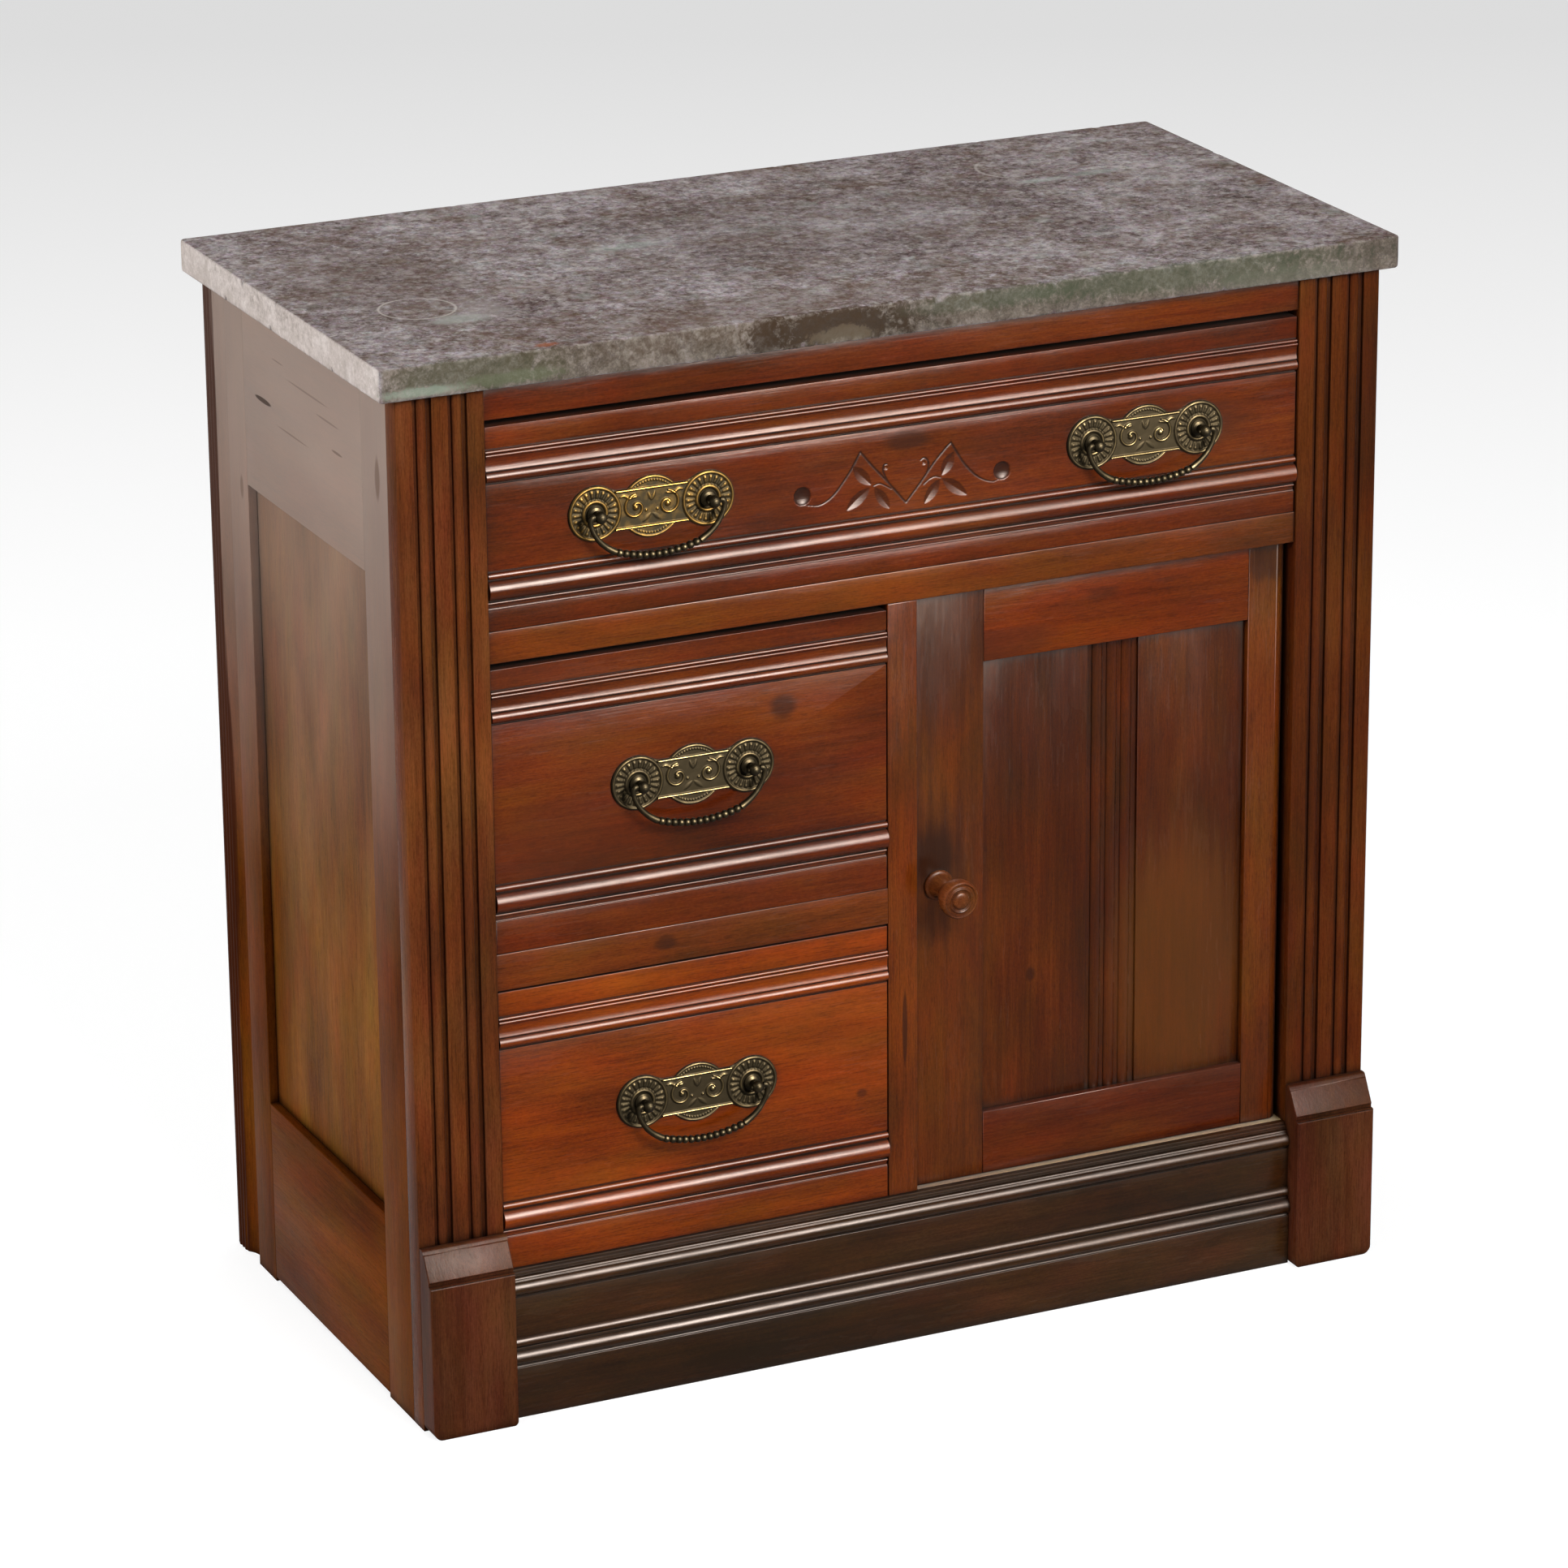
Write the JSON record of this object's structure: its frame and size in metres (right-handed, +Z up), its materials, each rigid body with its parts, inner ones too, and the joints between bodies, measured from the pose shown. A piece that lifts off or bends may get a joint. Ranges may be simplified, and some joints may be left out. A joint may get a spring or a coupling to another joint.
{
  "type": "washstand chest",
  "caption": "Victorian washstand chest: marble slab on a frame-and-panel case, a long drawer over small drawers beside a panelled cupboard, with brass bail pulls and a turned knob.",
  "frame": {"origin": "on the floor under the centre of the whole washstand's box", "axes": "+Z up, -Y towards the front with the drawers and the door, +X to the right of someone who faces the front"},
  "size_m": [0.762, 0.3976, 0.76],
  "materials": {
    "marble": "polished mottled marble, brown to purple-grey with green patches",
    "case_wood": "stained and varnished hardwood, red-brown",
    "front_wood": "glossy varnished hardwood, orange-red",
    "dark_wood": "varnished hardwood, darkened with age",
    "inner_wood": "bare softwood, aged",
    "old_brass": "tarnished stamped and cast brass"
  },
  "bodies": {
    "case": {"marble_top": "marble", "left_pilaster": "case_wood", "right_pilaster": "case_wood", "left_plinth_block": "dark_wood", "right_plinth_block": "dark_wood", "left_side_front_stile": "case_wood", "left_side_rear_stile": "case_wood", "left_side_top_rail": "case_wood", "left_side_bottom_rail": "case_wood", "left_side_panel": "case_wood", "right_side_front_stile": "case_wood", "right_side_rear_stile": "case_wood", "right_side_top_rail": "case_wood", "right_side_bottom_rail": "case_wood", "right_side_panel": "case_wood", "front_top_rail": "front_wood", "upper_divider_rail": "case_wood", "lower_divider_rail": "case_wood", "centre_stile": "case_wood", "base_board": "dark_wood", "back_rails": "inner_wood", "back_boards": "inner_wood", "partition": "inner_wood", "cupboard_floor": "inner_wood", "drawer_runners": "inner_wood", "door_stop": "inner_wood", "case_pivot_plates": "old_brass"},
    "long_drawer": {"long_drawer_front": "front_wood", "long_drawer_left_side": "inner_wood", "long_drawer_right_side": "inner_wood", "long_drawer_back": "inner_wood", "long_drawer_bottom": "inner_wood", "long_drawer_pull_plates": "old_brass", "long_drawer_pull_posts": "old_brass"},
    "middle_drawer": {"middle_drawer_front": "front_wood", "middle_drawer_left_side": "inner_wood", "middle_drawer_right_side": "inner_wood", "middle_drawer_back": "inner_wood", "middle_drawer_bottom": "inner_wood", "middle_drawer_pull_plate": "old_brass", "middle_drawer_pull_posts": "old_brass"},
    "lower_drawer": {"lower_drawer_front": "front_wood", "lower_drawer_left_side": "inner_wood", "lower_drawer_right_side": "inner_wood", "lower_drawer_back": "inner_wood", "lower_drawer_bottom": "inner_wood", "lower_drawer_pull_plate": "old_brass", "lower_drawer_pull_posts": "old_brass"},
    "door": {"door_latch_stile": "case_wood", "door_hinge_stile": "case_wood", "door_top_rail": "front_wood", "door_bottom_rail": "front_wood", "door_panel": "dark_wood", "door_pivot_plates": "old_brass"},
    "knob": {"door_knob": "case_wood", "latch_tongue": "inner_wood"},
    "left_bail": {"left_bail": "old_brass"},
    "right_bail": {"right_bail": "old_brass"},
    "middle_bail": {"middle_bail": "old_brass"},
    "lower_bail": {"lower_bail": "old_brass"}
  },
  "joints": [
    {"name": "long_drawer_slide", "type": "slide", "parent": "case", "child": "long_drawer", "axis": [0, -1, 0], "range_m": [0, 0.25]},
    {"name": "middle_drawer_slide", "type": "slide", "parent": "case", "child": "middle_drawer", "axis": [0, -1, 0], "range_m": [0, 0.25]},
    {"name": "lower_drawer_slide", "type": "slide", "parent": "case", "child": "lower_drawer", "axis": [0, -1, 0], "range_m": [0, 0.25]},
    {"name": "door_hinge", "type": "hinge", "parent": "case", "child": "door", "pos_m": [0.2958, -0.15175, 0.1082], "axis": [0, 0, 1], "range_deg": [0, 90]},
    {"name": "knob_turn", "type": "hinge", "parent": "door", "child": "knob", "pos_m": [0.03045, -0.16075, 0.3327], "axis": [0, 1, 0], "range_deg": [0, 90]},
    {"name": "left_bail_swing", "type": "hinge", "parent": "long_drawer", "child": "left_bail", "pos_m": [-0.186, -0.17875, 0.64005], "axis": [-1, 0, 0], "range_deg": [-8, 170]},
    {"name": "right_bail_swing", "type": "hinge", "parent": "long_drawer", "child": "right_bail", "pos_m": [0.186, -0.17875, 0.64005], "axis": [-1, 0, 0], "range_deg": [-8, 170]},
    {"name": "middle_bail_swing", "type": "hinge", "parent": "middle_drawer", "child": "middle_bail", "pos_m": [-0.15837, -0.17875, 0.4462], "axis": [-1, 0, 0], "range_deg": [-8, 170]},
    {"name": "lower_bail_swing", "type": "hinge", "parent": "lower_drawer", "child": "lower_bail", "pos_m": [-0.15837, -0.17875, 0.21395], "axis": [-1, 0, 0], "range_deg": [-8, 170]}
  ]
}
